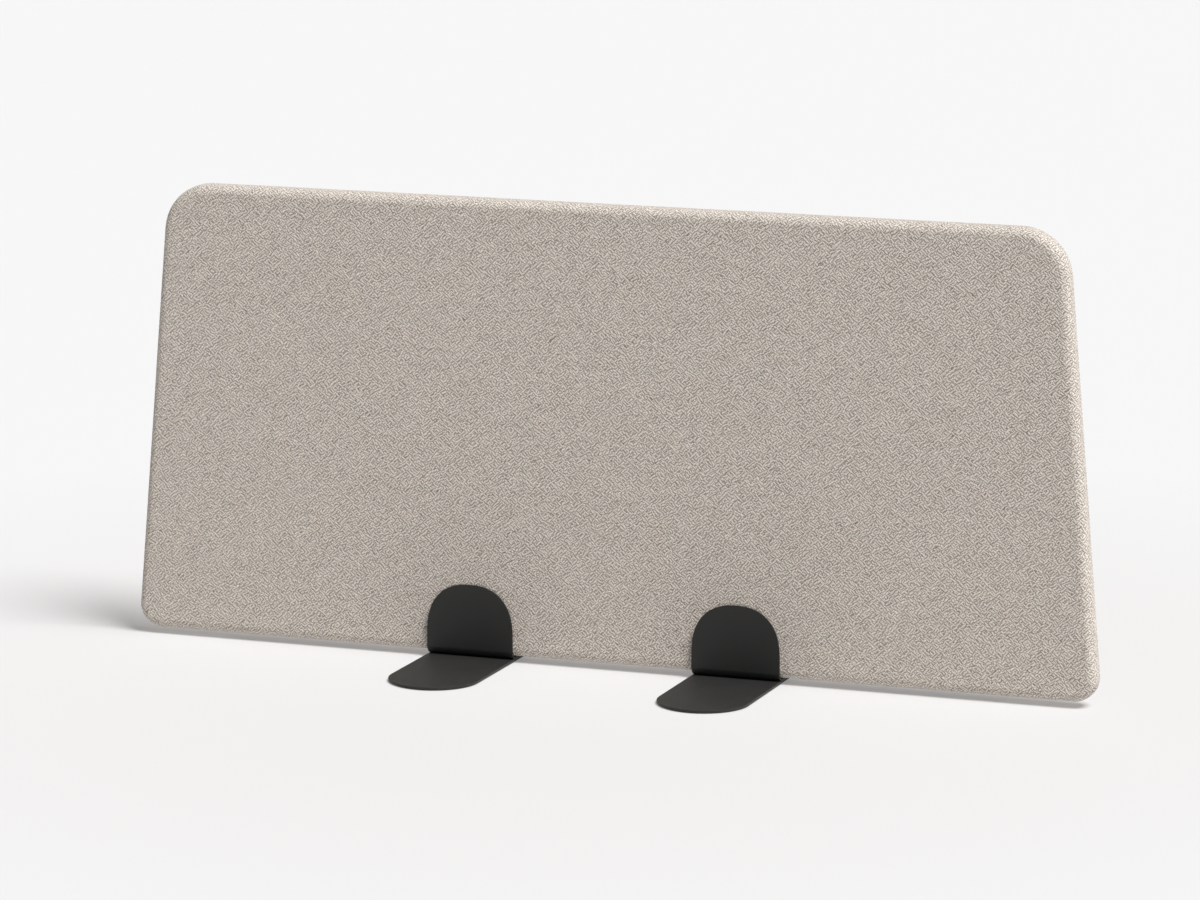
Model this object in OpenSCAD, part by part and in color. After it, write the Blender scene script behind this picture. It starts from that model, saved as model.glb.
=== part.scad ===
// Acoustic divider screen that stands on a desk.
// A padded, cloth-covered panel leans in at both ends and rides in two bent steel feet.
// X runs along the panel, Y from its front to its back, Z up from the desk.

/* [Panel] */
// Width of the panel along its bottom edge, before the corners are rounded
panel_w = 1600; // [1200:10:2000]
// Height of the panel, from its bottom edge to its top edge
panel_h = 725; // [450:5:1000]
// How far each side leans in between the bottom edge and the top edge
side_lean = 62; // [20:1:120]
// Thickness of the finished panel
panel_t = 40; // [38:1:60]
// Radius of the two top corners, seen from the front
top_corner_r = 80; // [60:1:120]
// Radius of the two bottom corners, seen from the front
bottom_corner_r = 37; // [30:1:60]
// Radius at which the cover rolls from the faces onto the edges
edge_r = 14.5; // [12:0.5:16]

/* [Upholstery] */
// Thickness of the woven cover
cover_t = 1.5; // [1:0.1:2.5]
// Thickness of the wadding round the top and the sides of the frame
edge_wadding_t = 6; // [4:0.5:10]
// Distance of the cover's rear seam behind the middle of the panel
seam_back = 12; // [9:0.5:14]
// Width of the woven strip that closes the cover under the panel
strip_w = 10; // [6:0.5:10]
// Distance between neighbouring staples in the strip
staple_pitch = 90; // [60:5:150]

/* [Frame] */
// Thickness of the wooden frame and of the absorber slabs in it
frame_t = 24; // [18:1:26]
// Width of the rails, stiles and posts, seen from the front
member_w = 45; // [36:1:60]
// Length of the diagonal corner fill of a corner block, along the rail
gusset = 40; // [20:1:60]
// Diameter of the wooden dowels
dowel_d = 8; // [6:1:10]
// Length of the wooden dowels
dowel_l = 50; // [36:1:60]
// Diameter of the screws that hold the posts
post_screw_d = 5; // [4:0.5:6]
// Length of the screws that hold the posts
post_screw_l = 80; // [70:1:100]

/* [Feet] */
// Distance between the centres of the two feet
foot_spacing = 442.5; // [300:2.5:1000]
// Width of a foot along the panel
foot_w = 144; // [100:1:200]
// Length of a base plate from front to back
base_l = 490; // [300:5:700]
// Thickness of a base plate
plate_t = 4; // [3:0.5:6]
// Thickness of the bent bracket
bracket_t = 3; // [2:0.5:5]
// Height of the bracket, from its underside to the top of its tabs
bracket_h = 116; // [100:1:180]
// Inner radius of the two bends of the bracket
bend_r = 11; // [6:0.5:12]
// Height of the arched end of a tab
arch_h = 81; // [50:1:85]
// Roundness of the arch, where 2 is an ellipse and more is squarer
arch_power = 2.4; // [2:0.1:4]
// Thickness of the soft liner between the bracket and the panel
liner_t = 1; // [0.5:0.1:2]
// How far the liner stays inside the outline of the bracket
liner_inset = 4; // [2:0.5:10]
// Thickness of the anti-slip sheet under a base plate
sheet_t = 1.2; // [0.8:0.1:3]
// How far the sheet stays inside the outline of the base plate
sheet_inset = 3; // [1:0.5:10]
// Diameter of the bracket screws
foot_screw_d = 5; // [4:0.5:6]
// Distance of the bracket screws from the sides of the foot
foot_screw_edge = 24; // [12:1:40]
// Distance between the bracket screws from front to back
foot_screw_dy = 12; // [10:0.5:14]

/* [Fits] */
// Clearance between the panel and the liner it slides in
slide_gap = 0.3; // [0.2:0.05:0.6]
// Radial play of a screw or a dowel in its bore
bore_play = 0.05; // [0.02:0.01:0.1]
// Extra depth of a blind bore past the end of its dowel or screw
bore_end = 1; // [0.5:0.1:2]

/* [Hidden] */
$fn = 96;

// Overrun of every cut past the face that it opens
over = 1;
// Number of straight pieces in the arch of a tab
arch_steps = 64;
// Number of flat pieces in each rounded corner of the upholstery
corner_steps = 12;
// Number of flat pieces in its roll from a face to the edge, and on either side of the seam
roll_steps = 6;
edge_to_seam_steps = 2;
seam_to_back_steps = 4;
// Clearance of the frame's rounded corners in the wadding, whose curves are flat pieces
curve_ease = 0.3;
// Staple wire: its width and its thickness, the length of its crown and of its legs
staple_w = 1.2;
staple_wire_t = 0.6;
staple_crown = 10;
staple_leg = 9;
// Distance from the end of the bottom rail to the end of the closing strip
strip_end = 24;
// Distance from the corner of the frame opening to the joint, past the diagonal fill
joint_past_gusset = 30;
// Across flats and depth of the hexagon socket in a bracket screw
socket_af = 3;
socket_depth = 1.6;
// Head diameter of a countersunk screw as a share of its shank diameter
head_share = 1.9;

// Lean of the sides from the vertical, in degrees
lean = atan(side_lean / panel_h);
// Heights above the desk
plate_z = sheet_t;
bracket_z = plate_z + plate_t;
panel_z = bracket_z + bracket_t + liner_t + slide_gap;
// Distance of the frame's outline from the panel's outline
frame_inset = cover_t + edge_wadding_t;
// Distance of the frame opening from the panel's outline
opening_inset = frame_inset + member_w;
// Half distance between the inner faces of the liner and of the tabs
liner_half = panel_t / 2 + slide_gap;
tab_half = liner_half + liner_t;
// Reach of a corner block along the frame opening, from the opening's corner
block_arm = gusset + joint_past_gusset;
// Centre of a post
post_x = foot_spacing / 2;
// A length that spans the whole panel, for cutting it in two
span = panel_w + panel_h;

// Half width of the panel at height y, drawn in by inset at right angles to the side
function side_x(y, inset) = panel_w / 2 - inset / cos(lean) - y * tan(lean);
// Centre of a top or bottom corner of radius r, on an outline drawn in by inset
function top_centre(inset, r) =
  let (y = panel_h - inset - r) [side_x(y, inset + r), y];
function bottom_centre(inset, r) = let (y = inset + r) [side_x(y, inset + r), y];
// Unit vectors out of the right side and up along it
side_out = [cos(lean), sin(lean)];
side_up = [-sin(lean), cos(lean)];
// A list of points of the right half, followed by its mirror image
function both_halves(points) =
  concat(points, [for (i = [len(points) - 1:-1:0]) [-points[i].x, points[i].y]]);

// Corners of the frame opening on the right, and the joints beside them
opening_top = [side_x(panel_h - opening_inset, opening_inset), panel_h - opening_inset];
opening_bottom = [side_x(opening_inset, opening_inset), opening_inset];
top_joint_x = opening_top.x - block_arm;
bottom_joint_x = opening_bottom.x - block_arm;
top_joint = opening_top - block_arm * side_up;
bottom_joint = opening_bottom + block_arm * side_up;
strip_half = bottom_joint_x - strip_end;
staple_count = floor(2 * (strip_half - strip_end) / staple_pitch);

// Stands a drawing of the front view upright, its thickness centred on Y
module upright() translate([0, 0, panel_z]) rotate([90, 0, 0]) children();

// Outline of the panel, drawn in by inset all round
module panel_outline(inset) {
  top_r = top_corner_r - inset;
  bottom_r = bottom_corner_r - inset;
  top_c = top_centre(inset, top_r);
  bottom_c = bottom_centre(inset, bottom_r);
  polygon(both_halves([
    [bottom_c.x, inset], bottom_c + bottom_r * side_out,
    top_c + top_r * side_out, [top_c.x, panel_h - inset]]));
  for (side = [-1, 1]) {
    translate([side * top_c.x, top_c.y]) circle(top_r);
    translate([side * bottom_c.x, bottom_c.y]) circle(bottom_r);
  }
}

// The same outline as a list of points, anticlockwise from the middle of the bottom
function arc_points(centre, r, from, to) = [for (i = [0:corner_steps])
  let (a = from + (to - from) * i / corner_steps) centre + r * [cos(a), sin(a)]];
function outline_points(inset) = both_halves(concat(
  arc_points(bottom_centre(inset, bottom_corner_r - inset), bottom_corner_r - inset, -90, lean),
  arc_points(top_centre(inset, top_corner_r - inset), top_corner_r - inset, lean, 90)));

// A ring is [inset, level]: the outline drawn in by inset, at a level of the thickness.
// Rings of the cover's roll at angles from 0 on the edge to 90 on the face. The outside
// of the cover has depth 0, and its inside has depth cover_t.
function roll_rings(depth, angles) = [for (a = angles) let (r = edge_r - depth)
  [edge_r - r * cos(a), panel_t / 2 - edge_r + r * sin(a)]];
// Evenly spaced angles
function angles(from, to, steps) = [for (i = [0:steps]) from + (to - from) * i / steps];
// Angle of the seam on the roll
function seam_angle(depth) = asin((seam_back - panel_t / 2 + edge_r) / (edge_r - depth));
function edge_to_seam(depth) =
  roll_rings(depth, angles(0, seam_angle(depth), edge_to_seam_steps));
function back_to_seam(depth) =
  roll_rings(depth, angles(90, seam_angle(depth), seam_to_back_steps));
function face_to_edge(depth) = roll_rings(depth, angles(90, 0, roll_steps));
// The same rings on the other side of the middle plane
function flipped(rings) = [for (ring = rings) [ring[0], -ring[1]]];
function backwards(list) = [for (i = [len(list) - 1:-1:0]) list[i]];

// Closed skin through a list of rings, with a flat face on the first and the last
module loft(rings) {
  points = [for (ring = rings) for (p = outline_points(ring[0])) [p.x, p.y, ring[1]]];
  n = len(points) / len(rings);
  last = n * (len(rings) - 1);
  polyhedron(points, concat(
    [backwards([for (i = [0:n - 1]) i])],
    [for (k = [0:n:last - n], i = [0:n - 1], upper = [0, 1]) let (j = (i + 1) % n)
      upper ? [k + i, k + n + j, k + n + i] : [k + i, k + j, k + n + j]],
    [[for (i = [0:n - 1]) last + i]]), convexity = 4);
}

// Half plane past a point, in the direction of an angle
module past(point, angle)
  translate(point) rotate(angle) translate([0, -span]) square([span, 2 * span]);

// Cover: the front part wraps the edges up to the seam, and has a slit under the panel for
// the strip. The rear part closes the back.
function front_skin(depth) = concat(face_to_edge(depth), flipped(edge_to_seam(depth)));
module cover_front() color("tan") upright() difference() {
  loft(concat(front_skin(0), backwards(front_skin(cover_t))));
  translate([-strip_half, -over, -strip_w / 2]) cube([2 * strip_half, cover_t + 2 * over, strip_w]);
}
module cover_back() color("tan") upright() mirror([0, 0, 1])
  loft(concat(back_to_seam(0), backwards(back_to_seam(cover_t))));

// Wadding: fills the cover round the frame, parted at the middle of the edges. The bottom
// rail passes through it to the cover.
module wadding(rings) difference() {
  loft(concat(rings, [[cover_t, 0]]));
  linear_extrude(frame_t, center = true) {
    panel_outline(frame_inset - curve_ease);
    translate([-bottom_joint_x, -over]) square([2 * bottom_joint_x, opening_inset]);
  }
}
module wadding_front() color("ivory") upright() wadding(face_to_edge(cover_t));
module wadding_back() color("ivory") upright() mirror([0, 0, 1])
  wadding(concat(back_to_seam(cover_t), backwards(edge_to_seam(cover_t))));

// Frame opening, with its four corners cut off by the diagonal fills
module frame_opening() polygon(both_halves([
  opening_bottom - [gusset, 0], opening_bottom + gusset * side_up,
  opening_top - gusset * side_up, opening_top - [gusset, 0]]));
// Ring that the rails, stiles and corner blocks are cut from
module frame_ring() difference() {
  panel_outline(frame_inset);
  frame_opening();
}

// Places a dowel on every joint of the frame, two to a joint, along the joined pieces
module at_dowels() {
  for (side = [0, 1], offset = [-1, 1]) mirror([side, 0, 0]) {
    along = member_w / 2 + offset * member_w / 4;
    translate([top_joint_x, opening_top.y + along]) rotate([0, 90, 0]) children();
    translate([bottom_joint_x, opening_bottom.y - along]) rotate([0, 90, 0]) children();
    for (joint = [top_joint, bottom_joint])
      translate(joint + along * side_out) rotate([0, 0, lean]) rotate([90, 0, 0]) children();
  }
}
module dowel(play, end)
  cylinder(d = dowel_d + 2 * play, h = dowel_l + 2 * end, center = true);

// Countersunk screw along +Z, its head flush with z = 0
module screw(d, length, play) {
  head_d = head_share * d;
  cylinder(d = d + 2 * play, h = length);
  cylinder(d1 = head_d + 2 * play, d2 = d + 2 * play, h = (head_d - d) / 2);
}
// Places two screws on each end of each post, driven through the rails
module at_post_screws() {
  for (side = [-1, 1], offset = [-1, 1]) {
    x = side * post_x + offset * member_w / 4;
    translate([x, cover_t]) rotate([-90, 0, 0]) children();
    translate([x, panel_h - frame_inset]) rotate([90, 0, 0]) children();
  }
}

// Every bore in the frame
module frame_bores() {
  at_dowels() dowel(bore_play, bore_end);
  at_post_screws() screw(post_screw_d, post_screw_l + bore_end, bore_play);
}
// One piece of the frame: its front view made solid, with every bore that meets it
module frame_piece() difference() {
  linear_extrude(frame_t, center = true) children();
  frame_bores();
}

module top_rail() color("burlywood") upright() frame_piece() intersection() {
  frame_ring();
  translate([-top_joint_x, opening_top.y]) square([2 * top_joint_x, opening_inset]);
}
// Bottom rail: it reaches down to the cover, follows its roll and holds the staples
module bottom_rail() color("burlywood") upright() difference() {
  translate([-bottom_joint_x, 0, 0]) rotate([90, 0, 90])
    linear_extrude(2 * bottom_joint_x) bottom_rail_section();
  frame_bores();
  at_staples() staple();
}
// Its section, with the height above the panel's bottom edge along X
module bottom_rail_section() intersection() {
  roll = face_to_edge(cover_t);
  face = panel_t / 2 - cover_t;
  polygon(concat(roll, backwards(flipped(roll)), [[opening_inset, -face], [opening_inset, face]]));
  translate([0, -frame_t / 2]) square([opening_inset, frame_t]);
}
module stile() upright() frame_piece() intersection() {
  frame_ring();
  past([top_joint_x, 0], 0);
  past(top_joint, 270 + lean);
  past(bottom_joint, 90 + lean);
}
module right_stile() color("burlywood") stile();
module left_stile() color("burlywood") mirror([1, 0, 0]) stile();
module top_block() upright() frame_piece() intersection() {
  frame_ring();
  past([top_joint_x, 0], 0);
  past(top_joint, 90 + lean);
}
module top_right_block() color("peru") top_block();
module top_left_block() color("peru") mirror([1, 0, 0]) top_block();
module bottom_block() upright() frame_piece() intersection() {
  frame_ring();
  past([bottom_joint_x, 0], 0);
  past(bottom_joint, 270 + lean);
}
module bottom_right_block() color("peru") bottom_block();
module bottom_left_block() color("peru") mirror([1, 0, 0]) bottom_block();

// Post: an upright between the rails, over a foot
module post_outline() translate([post_x - member_w / 2, opening_bottom.y])
  square([member_w, opening_top.y - opening_bottom.y]);
module right_post() color("burlywood") upright() frame_piece() post_outline();
module left_post() color("burlywood") mirror([1, 0, 0]) upright() frame_piece() post_outline();

// Absorber slabs: they fill the three bays of the frame
module absorber_middle() color("darkkhaki") upright() linear_extrude(frame_t, center = true)
  translate([member_w / 2 - post_x, opening_bottom.y])
    square([2 * post_x - member_w, opening_top.y - opening_bottom.y]);
module end_absorber() upright() linear_extrude(frame_t, center = true) intersection() {
  frame_opening();
  past([post_x + member_w / 2, 0], 0);
}
module absorber_right() color("darkkhaki") end_absorber();
module absorber_left() color("darkkhaki") mirror([1, 0, 0]) end_absorber();

module frame_dowels() color("wheat") upright() at_dowels() dowel(0, 0);
module post_screws() color("silver") upright() at_post_screws()
  screw(post_screw_d, post_screw_l, 0);

// Closing strip, flush in the slit of the cover, and the staples sunk in it
module underside_strip() color("dimgray") upright() difference() {
  translate([-strip_half, 0, -strip_w / 2]) cube([2 * strip_half, cover_t, strip_w]);
  at_staples() staple();
}
// Places the staples in a row that leaves out the posts, where the screws are
module at_staples() for (i = [0:staple_count]) {
  x = (i - staple_count / 2) * staple_pitch;
  if (abs(abs(x) - post_x) > member_w / 2 + staple_crown) translate([x, 0, 0]) children();
}
module staple() {
  translate([-staple_crown / 2, 0, -staple_w / 2]) cube([staple_crown, staple_wire_t, staple_w]);
  for (x = [-staple_crown / 2, staple_crown / 2 - staple_wire_t])
    translate([x, 0, -staple_w / 2]) cube([staple_wire_t, staple_leg, staple_w]);
}
module strip_staples() color("silver") upright() at_staples() staple();

// Long shape with round ends, from front to back
module stadium(width, length) {
  square([width, length - width], center = true);
  for (end = [-1, 1]) translate([0, end * (length - width) / 2]) circle(d = width);
}
// Places the four bracket screws, driven up through the base plate into the web
module at_foot_screws() for (x = [-1, 1], y = [-1, 1])
  translate([x * (foot_w / 2 - foot_screw_edge), y * foot_screw_dy / 2, plate_z]) children();
module foot_screw_bores() at_foot_screws()
  screw(foot_screw_d, plate_t + bracket_t + over, bore_play);

module base_plate() difference() {
  translate([0, 0, plate_z]) linear_extrude(plate_t) stadium(foot_w, base_l);
  foot_screw_bores();
}
module floor_sheet() linear_extrude(sheet_t)
  stadium(foot_w - 2 * sheet_inset, base_l - 2 * sheet_inset);
module foot_screws() at_foot_screws() difference() {
  screw(foot_screw_d, plate_t + bracket_t, 0);
  translate([0, 0, -over]) cylinder(d = socket_af / cos(30), h = socket_depth + over, $fn = 6);
}

// Front view of a tab, drawn in by inset: straight sides under an arch of the form
// |x / a| ^ power + |z / b| ^ power = 1
module tab_outline(inset) {
  a = foot_w / 2 - inset;
  b = arch_h - inset;
  spring = bracket_h - arch_h;
  arch = [for (i = [0:arch_steps]) let (t = 180 * i / arch_steps)
    [a * sign(cos(t)) * pow(abs(cos(t)), 2 / arch_power), spring + b * pow(sin(t), 2 / arch_power)]];
  polygon(concat(arch, [[-a, -over], [a, -over]]));
}
// Upright slot shape with rounded lower corners, seen from the side
module slot_section(half, low, r) {
  translate([-half, low + r]) square([2 * half, bracket_h]);
  translate([r - half, low]) square([2 * (half - r), r]);
  for (side = [-1, 1]) translate([side * (half - r), low + r]) circle(r);
}
// Sheet of even thickness, bent into a U round the slot and cut to the tabs' front view
module bent_sheet(half, low, r, thickness, inset) intersection() {
  rotate([90, 0, 90]) linear_extrude(foot_w - 2 * inset, center = true) difference() {
    slot_section(half + thickness, low - thickness, r + thickness);
    slot_section(half, low, r);
  }
  rotate([90, 0, 0]) linear_extrude(base_l, center = true) tab_outline(inset);
}
module bracket() difference() {
  translate([0, 0, bracket_z]) bent_sheet(tab_half, bracket_t, bend_r, bracket_t, 0);
  foot_screw_bores();
}
module liner() translate([0, 0, bracket_z])
  bent_sheet(liner_half, bracket_t + liner_t, bend_r - liner_t, liner_t, liner_inset);

module at_foot(side) translate([side * foot_spacing / 2, 0, 0]) children();
module left_base_plate() color([0.12, 0.12, 0.12]) at_foot(-1) base_plate();
module left_bracket() color([0.16, 0.16, 0.16]) at_foot(-1) bracket();
module left_liner() color("gray") at_foot(-1) liner();
module left_floor_sheet() color("black") at_foot(-1) floor_sheet();
module left_foot_screws() color("silver") at_foot(-1) foot_screws();
module right_base_plate() color([0.12, 0.12, 0.12]) at_foot(1) base_plate();
module right_bracket() color([0.16, 0.16, 0.16]) at_foot(1) bracket();
module right_liner() color("gray") at_foot(1) liner();
module right_floor_sheet() color("black") at_foot(1) floor_sheet();
module right_foot_screws() color("silver") at_foot(1) foot_screws();

cover_front();
cover_back();
wadding_front();
wadding_back();
absorber_left();
absorber_middle();
absorber_right();
top_rail();
bottom_rail();
left_stile();
right_stile();
left_post();
right_post();
top_left_block();
top_right_block();
bottom_left_block();
bottom_right_block();
frame_dowels();
post_screws();
underside_strip();
strip_staples();
left_base_plate();
left_bracket();
left_liner();
left_floor_sheet();
left_foot_screws();
right_base_plate();
right_bracket();
right_liner();
right_floor_sheet();
right_foot_screws();
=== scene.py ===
"""Looks for the acoustic divider screen: a cloth-covered panel in two bent steel feet.

X runs along the panel, Y from its front to its back, Z up from the desk, in metres.
Sizes that part.scad names are repeated here under the same names.
"""
import math

import bmesh
import bpy
import numpy as np
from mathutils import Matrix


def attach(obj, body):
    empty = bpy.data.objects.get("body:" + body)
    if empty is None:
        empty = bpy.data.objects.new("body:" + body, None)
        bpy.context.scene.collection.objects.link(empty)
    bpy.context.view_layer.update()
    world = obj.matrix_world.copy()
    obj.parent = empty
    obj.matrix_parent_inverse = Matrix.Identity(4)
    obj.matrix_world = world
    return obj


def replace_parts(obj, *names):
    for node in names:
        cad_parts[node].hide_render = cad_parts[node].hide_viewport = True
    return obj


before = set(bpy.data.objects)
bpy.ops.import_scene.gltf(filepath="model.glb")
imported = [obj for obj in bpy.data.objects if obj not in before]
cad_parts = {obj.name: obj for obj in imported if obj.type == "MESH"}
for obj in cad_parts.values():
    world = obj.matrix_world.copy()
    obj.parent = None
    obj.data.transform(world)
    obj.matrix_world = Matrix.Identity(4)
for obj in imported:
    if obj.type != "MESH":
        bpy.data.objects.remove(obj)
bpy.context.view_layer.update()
MM = 0.001

# Panel, as in the part's source
PANEL_W, PANEL_H, PANEL_T = 1600 * MM, 725 * MM, 40 * MM
SIDE_LEAN = 62 * MM
TOP_CORNER_R, BOTTOM_CORNER_R, EDGE_R = 80 * MM, 37 * MM, 14.5 * MM
COVER_T, SEAM_BACK, STRIP_W = 1.5 * MM, 12 * MM, 10 * MM
EDGE_WADDING_T, FRAME_T, MEMBER_W, GUSSET = 6 * MM, 24 * MM, 45 * MM, 40 * MM
JOINT_PAST_GUSSET, STRIP_END = 30 * MM, 24 * MM
PANEL_Z = 9.5 * MM
# Feet, as in the part's source
FOOT_SPACING, FOOT_W = 442.5 * MM, 144 * MM
BRACKET_Z, BRACKET_T, BRACKET_H = 5.2 * MM, 3 * MM, 116 * MM
BEND_R, ARCH_H, ARCH_POWER = 11 * MM, 81 * MM, 2.4
LINER_T, LINER_INSET, SLIDE_GAP = 1 * MM, 4 * MM, 0.3 * MM
# Staples, the lean of the ends and the insets of the frame, as in the part's source
STAPLE_PITCH, STAPLE_CROWN = 90 * MM, 10 * MM
LEAN = math.atan(SIDE_LEAN / PANEL_H)
FRAME_INSET = COVER_T + EDGE_WADDING_T
OPENING_INSET = FRAME_INSET + MEMBER_W
# Upholstery that the source leaves plain
SEAM_DEPTH, SEAM_WIDTH, SEAM_ALLOWANCE = 1.2 * MM, 2.3 * MM, 12 * MM
PUCKER_DEPTH, PUCKER_REACH = 0.35 * MM, 9 * MM
CORNER_FOLDS, FOLD_SHARES = 7, (0.6, 1.0)
SAG, SAG_FADE = 0.05 * MM, (100 * MM, 250 * MM)
# Slow waves of the padding: their turns along x and y in radians a metre, their start
SAG_WAVES = (17, 9, 0.4), (-11, 26, 1.9), (39, -31, 4.0)
STITCH_PITCH, STITCH_HALF, STITCH_SLANT = 6.5 * MM, 2.1 * MM, 0.7 * MM
STITCH_RISE, STITCH_DIVE, THREAD_R = 0.1 * MM, 0.8 * MM, 0.35 * MM
WADDING_PLAY, SLAB_EASE, SLAB_PLAY = 0.05 * MM, 2 * MM, 0.2 * MM
TAPE_PLAY, TAPE_DIP, TAPE_STEPS = 0.1 * MM, 0.3 * MM, 700
# Eased edges of the steel, in which loose triangles are welded first: above 35 degrees
STEEL_EASE, STEEL_WELD, EASE_ABOVE = 0.45 * MM, 0.002 * MM, 35
# Distances at which points of a folded skin merge and edges count as none
WELD, SLIVER = 1e-6, 1e-7
# Rings of the cloths: on the quarter turn or up to the seam dip, and short of the seam
FRONT_RINGS, FRONT_SEAM_RINGS = 11, (4.6, 3.2, 2.3, 1.6, 1.0, 0.5, 0)
REAR_RINGS, REAR_SEAM_RINGS, SEAM_DIP_START = 7, (3.8, 2.8, 2.0, 1.4, 0.9, 0.45, 0), 5 * MM
# Camera of the photograph: its lens on a sensor 36 mm wide, its place, dip and turn
SENSOR_W, LENS, CAMERA_AT = 36, 168.213, (2.947057, -8.057178, 1.983687)
CAMERA_DIP, CAMERA_TURN = 10.794, 20.1594
# Light: the sky and its band, what a camera sees of it, the key light, the floor
SKY, BAND_FRONT, BAND_REAR, BAND_TOP, BACKDROP = 0.12, 0.4, 2.7, 0.35, 0.937
SKY_COLOUR, BACKDROP_COLOUR = (1, 0.99, 0.98, 1), (1, 1, 1, 1)
KEY_LIGHT, KEY_SPREAD, KEY_TOWARDS = 4.4, 28, (0.5, -0.185, 0.84)
FLOOR_NEAR, FLOOR_FAR = (0.468, 0.4666, 0.4643, 1), (0.514, 0.5202, 0.5233, 1)
FLOOR_FADE, FLOOR_REACH = (0.5, 1.9), 60
FLOOR_GLOW, GLOW_COLOUR = 0.25, (1, 0.965, 0.955, 1)
# Weave: the turn, width and length of its floats
FLOAT_TURN, FLOAT_W, FLOAT_L, CLOTH_RELIEF = 40, 3.9 * MM, 5.2 * MM, 0.5 * MM
WEAVE_SWAY = 5 * MM, 2.4 * MM
FLOAT_YARNS, YARN_TWIST, RIM_SHARE, RIM_DIP = 3, (3.4, 3), 0.12, 0.4
FLOAT_ROUNDING, YARN_LEVEL, GROOVE_SHARE, TWIST_SHARE = 0.7, 0.75, 0.3, 0.07
# Tone of the cloth: shares of the fibres, of each float's dye and of the mottling
FUZZ_SHARE, DYE_SHARE, MOTTLE_SHARE, TONE_SHIFT = 0.4, 0.09, 0.16, -0.03
FUZZ_SIZE, FUZZ_RELIEF, MOTTLE_SIZE = 0.6 * MM, 0.2, 14 * MM
# Ends of the cloth's colour: the dark end is painted shade in the weave's grooves and where the
# yarns go under, the pale end painted highlight on the crowns of the floats
CLOTH_GROOVE_PAINTED_SHADE, CLOTH_CROWN_PAINTED_HIGHLIGHT = (0.09, 0.074, 0.057, 1), (0.888, 0.808, 0.73, 1)
# Other finishes
PLY_T, PLY_GRAIN = 1.5 * MM, (30 * MM, 0.8 * MM, 4 * MM)
COAT_DEEP, COAT_PALE, COAT_ROUGHNESS = (0.012, 0.0118, 0.0112, 1), (0.0195, 0.019, 0.018, 1), 0.5


def place_camera():
    """The photograph's view: from the right of the front and a little above."""
    lens = bpy.data.cameras.new("photo_view")
    lens.sensor_width, lens.lens = SENSOR_W, LENS
    lens.clip_start, lens.clip_end = 0.1, 200
    camera = bpy.data.objects.new("photo_view", lens)
    camera.location = CAMERA_AT
    camera.rotation_euler = (math.radians(90 - CAMERA_DIP), 0, math.radians(CAMERA_TURN))
    bpy.context.scene.collection.objects.link(camera)
    bpy.context.scene.camera = camera
    bpy.context.scene.view_settings.view_transform = "Standard"


class Value:
    """A socket that varies over a surface; arithmetic on it adds Math nodes."""

    def __init__(self, finish, socket):
        self.finish, self.socket = finish, socket

    def maths(self, operation, *terms):
        """One Math node of this operation on the terms, in order."""
        inputs = dict(enumerate(terms))
        return self.finish.node("ShaderNodeMath", {"operation": operation}, inputs)["Value"]

    def __add__(self, other):
        return self.maths("ADD", self, other)

    def __sub__(self, other):
        return self.maths("SUBTRACT", self, other)

    def __rsub__(self, other):
        return self.maths("SUBTRACT", other, self)

    def __mul__(self, other):
        return self.maths("MULTIPLY", self, other)

    def __truediv__(self, other):
        return self.maths("DIVIDE", self, other)

    def __pow__(self, other):
        return self.maths("POWER", self, other)

    __radd__, __rmul__ = __add__, __mul__

    def above(self, other):
        return self.maths("MAXIMUM", self, other)

    def below(self, other):
        return self.maths("MINIMUM", self, other)

    def over(self, edge):
        return self.maths("GREATER_THAN", self, edge)

    def sine(self):
        return self.maths("SINE", self)

    def size(self):
        return self.maths("ABSOLUTE", self)

    def clipped(self):
        return self.above(0).below(1)


class Nodes:
    """A node tree and its helpers."""

    def __init__(self, tree, shader):
        self.tree, self.shader = tree, tree.nodes[shader]

    def node(self, kind, settings=None, inputs=None):
        """Adds a node: its settings first, then the values and links of its sockets."""
        made = self.tree.nodes.new(kind)
        for key, value in (settings or {}).items():
            if key == "stops":
                ramp = made.color_ramp.elements
                while len(ramp) < len(value):
                    ramp.new(0.5)
                for stop, (place, colour) in zip(ramp, value):
                    stop.position, stop.color = place, (*colour, 1)
            else:
                setattr(made, key, value)
        for key, value in (inputs or {}).items():
            found = [s for s in made.inputs if key in (s.identifier, s.name)]
            self.feed(made.inputs[key] if isinstance(key, int) else found[0], value)
        return Outputs(self, made)

    def feed(self, socket, value):
        """Links a Value to the socket, or sets a constant on it."""
        if isinstance(value, Value):
            self.tree.links.new(value.socket, socket)
        else:
            socket.default_value = value

    def set(self, **inputs):
        """Feeds sockets of the shader."""
        for key, value in inputs.items():
            self.feed(self.shader.inputs[key.replace("_", " ")], value)

    def coordinates(self, uv=None):
        """The piece's own UV map, or its Object coordinates."""
        if uv:
            return self.node("ShaderNodeUVMap", {"uv_map": uv})["UV"]
        return self.node("ShaderNodeTexCoord")["Object"]

    def placed(self, vector, turn=(0, 0, 0), size=(1, 1, 1)):
        """Coordinates counted in steps of size along axes that are turned."""
        inputs = {"Vector": vector, "Rotation": turn, "Scale": size}
        return self.node("ShaderNodeMapping", {"vector_type": "TEXTURE"}, inputs)["Vector"]

    def noise(self, vector, size, detail=2.0, rough=0.5):
        """Noise from 0 to 1 whose features are about size across."""
        inputs = {"Vector": vector, "Scale": 1 / size, "Detail": detail, "Roughness": rough}
        return self.node("ShaderNodeTexNoise", None, inputs)["Fac"]

    def blend(self, first, second, factor):
        """Colour between two colours."""
        inputs = {"Factor_Float": factor, "A_Color": first, "B_Color": second}
        return self.node("ShaderNodeMix", {"data_type": "RGBA"}, inputs)["Result_Color"]

    def bump(self, height, distance, strength=1.0):
        """Normal of a surface raised by height times distance."""
        inputs = {"Height": height, "Distance": distance, "Strength": strength}
        return self.node("ShaderNodeBump", None, inputs)["Normal"]


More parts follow.
